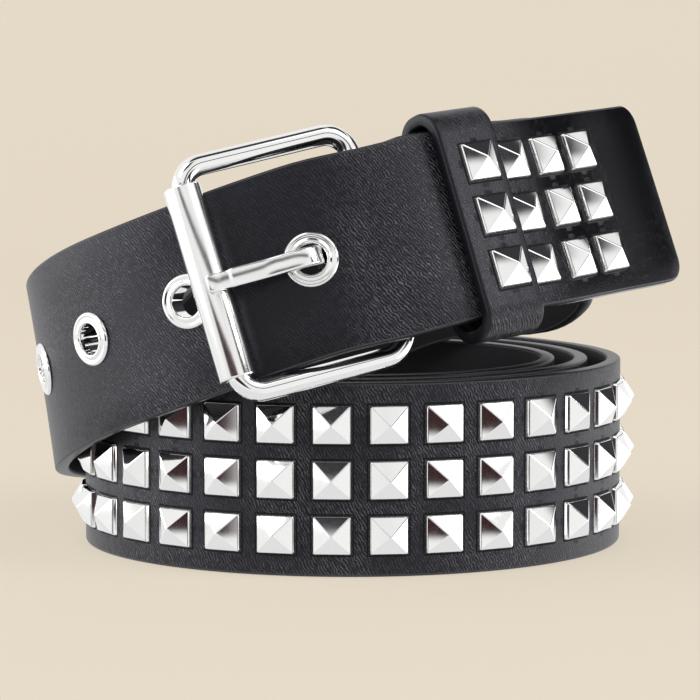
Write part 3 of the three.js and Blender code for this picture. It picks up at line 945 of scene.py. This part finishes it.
bpy.ops.object.mode_set(mode="OBJECT")
bpy.ops.object.shade_smooth_by_angle(angle=math.radians(50))
for i in range(eyelet_count):
    name = f"eyelet_{i + 1}"
    ring = copies(
        name + "_ring", eyelet, [flat_frame(first_eyelet - i * eyelet_pitch, eyelet_flange / 2)]
    )
    ring.data.materials.append(nickel)
    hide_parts(name)
    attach(ring, "root")
bpy.data.objects.remove(eyelet)


# The buckle's frame: one length of round steel wire bent to a rectangle with round corners,
# its ends butted behind the heel, nickel plated and polished.
inner_height = 41.2 * mm
wire_bend = 4.8 * mm
half_height = (inner_height + wire) / 2
bpy.ops.object.select_all(action="DESELECT")
bpy.ops.mesh.primitive_plane_add(size=1)
loop = bpy.context.object
loop.name = "wire_loop"
for corner in loop.data.vertices:
    corner.co = (buckle_reach if corner.co.x > 0 else 0, math.copysign(half_height, corner.co.y), 0)
edit(loop)
bpy.ops.mesh.select_all(action="SELECT")
bpy.ops.mesh.bevel(offset=wire_bend, segments=12, affect="VERTICES", profile=0.5)
bpy.ops.mesh.delete(type="ONLY_FACE")
bpy.ops.object.mode_set(mode="OBJECT")
bpy.ops.object.convert(target="CURVE")
loop.data.bevel_depth = wire / 2
loop.data.bevel_resolution = 6
bpy.ops.object.convert(target="MESH")
loop = bpy.context.object
lifted = buckle_frame @ Matrix.Translation((0, buckle_lift, 0))
loop.data.transform(moved @ lifted)
bpy.ops.object.shade_smooth()
loop.data.materials.append(nickel)
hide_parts("buckle_frame")
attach(loop, "root")


# The roller: a short tube rolled from sheet steel that turns on the frame's outer bar, with
# its ends turned in a little, plated like the frame.
roller_length = 38.5 * mm
roller_bore = wire / 2 + fit_gap
roller_round = 0.35 * mm
bpy.ops.object.select_all(action="DESELECT")
bpy.ops.mesh.primitive_cylinder_add(vertices=48, radius=roller_size / 2, depth=roller_length)
roller = bpy.context.object
roller.name = "roller_tube"
edit(roller)
choose(roller, "faces", lambda f: abs(f.normal.z) > 0.9)
bpy.ops.mesh.inset(thickness=roller_size / 2 - roller_bore, use_individual=True)
bpy.ops.mesh.delete(type="FACE")
choose(roller, "edges", lambda e: len(e.link_faces) == 1)
bpy.ops.mesh.bridge_edge_loops()
choose(roller, "edges", sharp_edge(50))
bpy.ops.mesh.bevel(offset=roller_round, segments=3, profile=0.5)
bpy.ops.mesh.select_all(action="SELECT")
bpy.ops.mesh.normals_make_consistent(inside=False)
bpy.ops.object.mode_set(mode="OBJECT")
roller_frame = Matrix((axis(buckle_frame, 2), axis(buckle_frame, 0), axis(buckle_frame, 1)))
roller_frame = roller_frame.transposed().to_4x4()
roller_frame.translation = roller_middle
roller.data.transform(moved @ roller_frame)
bpy.ops.object.shade_smooth_by_angle(angle=math.radians(30))
roller.data.materials.append(tumbled_nickel)
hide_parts("roller")
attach(roller, "root")


# The prong: a flat steel bar with softened edges, curled round the heel bar, that comes up
# through the first eyelet and rests on the roller with a thinner, narrower end.
prong_thickness = 2.4 * mm
half_prong = prong_thickness / 2
prong_stand = 0.95 * mm
prong_cuts = 90
prong_round = 0.55 * mm
step_start = 4.4 * mm
step_end = 4.7 * mm
end_width = 0.92
end_thickness = 0.6
eyelet_at = strap_frame(first_eyelet)


def in_buckle(point):
    """A point of the strap's eyelet as distances along and out of the buckle."""
    local = buckle_frame.inverted() @ (eyelet_at @ Vector(point))
    return Vector((local.x, local.z))


def round_point(turn):
    """A point of a circle of radius one, at a turn in degrees."""
    return Vector((math.cos(math.radians(turn)), math.sin(math.radians(turn))))


over_roller = roller_size / 2 + fit_gap + half_prong
curl_radius = wire / 2 + fit_gap + half_prong
above = half_strap + fit_gap + prong_stand + half_prong
centre_line = [over_roller * round_point(turn) for turn in (112, 96, 80)]
centre_line += [
    in_buckle((-9 * mm, 0, above + 1.3 * mm)),
    in_buckle((-5 * mm, 0, above + 0.95 * mm)),
    in_buckle((-1.6 * mm, 0, above + 0.65 * mm)),
    in_buckle((-0.2 * mm, 0, above + 0.25 * mm)),
    in_buckle((0.85 * mm, 0, above - 0.75 * mm)),
    in_buckle((1.4 * mm, 0, above - 2.2 * mm)),
    in_buckle((1.6 * mm, 0, 0)),
    in_buckle((2.1 * mm, 0, -above - 0.5 * mm)),
]
centre_line += [
    Vector((buckle_reach, 0)) + curl_radius * round_point(turn)
    for turn in (118, 80, 40, 0, -40, -80, -120, -155)
]
line_lengths = [0.0]
for a, b in zip(centre_line, centre_line[1:]):
    line_lengths.append(line_lengths[-1] + (b - a).length)
prong_length = line_lengths[-1]


def prong_point(length):
    """A point of the prong's smooth centre line."""
    i = 0
    while i < len(centre_line) - 2 and line_lengths[i + 1] < length:
        i += 1

    def lean_at(j):
        low, high = max(j - 1, 0), min(j + 1, len(centre_line) - 1)
        return (centre_line[high] - centre_line[low]) / (line_lengths[high] - line_lengths[low])

    span = line_lengths[i + 1] - line_lengths[i]
    t = (length - line_lengths[i]) / span
    return bridge(centre_line[i], centre_line[i + 1], lean_at(i), lean_at(i + 1), span, t)


bpy.ops.object.select_all(action="DESELECT")
bpy.ops.mesh.primitive_cube_add(size=1)
prong = bpy.context.object
prong.name = "prong_bar"
for corner in prong.data.vertices:
    corner.co.x = (corner.co.x + 0.5) * prong_length
    corner.co.y *= prong_width
    corner.co.z *= prong_thickness
edit(prong)
choose(prong, "edges", lambda e: abs(e.verts[0].co.x - e.verts[1].co.x) > mm)
bpy.ops.mesh.subdivide(number_cuts=prong_cuts)
choose(prong, "edges", sharp_edge(50))
bpy.ops.mesh.bevel(offset=prong_round, segments=3, profile=0.5)
bpy.ops.object.mode_set(mode="OBJECT")
probe = 0.05 * mm
for point in prong.data.vertices:
    x, y, z = point.co
    full = eased(x, step_start, step_end)
    y *= end_width + (1 - end_width) * full
    if z > 0:
        z *= end_thickness + (1 - end_thickness) * full
    centre = prong_point(x)
    ahead = prong_point(min(x + probe, prong_length)) - prong_point(max(x - probe, 0))
    ahead.normalize()
    out = Vector((-ahead.y, ahead.x))
    at = centre + z * out
    point.co = moved @ buckle_frame @ Vector((at.x, y, at.y))
bpy.ops.object.shade_smooth_by_angle(angle=math.radians(34))
prong.data.materials.append(tumbled_nickel)
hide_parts("prong")
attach(prong, "root")
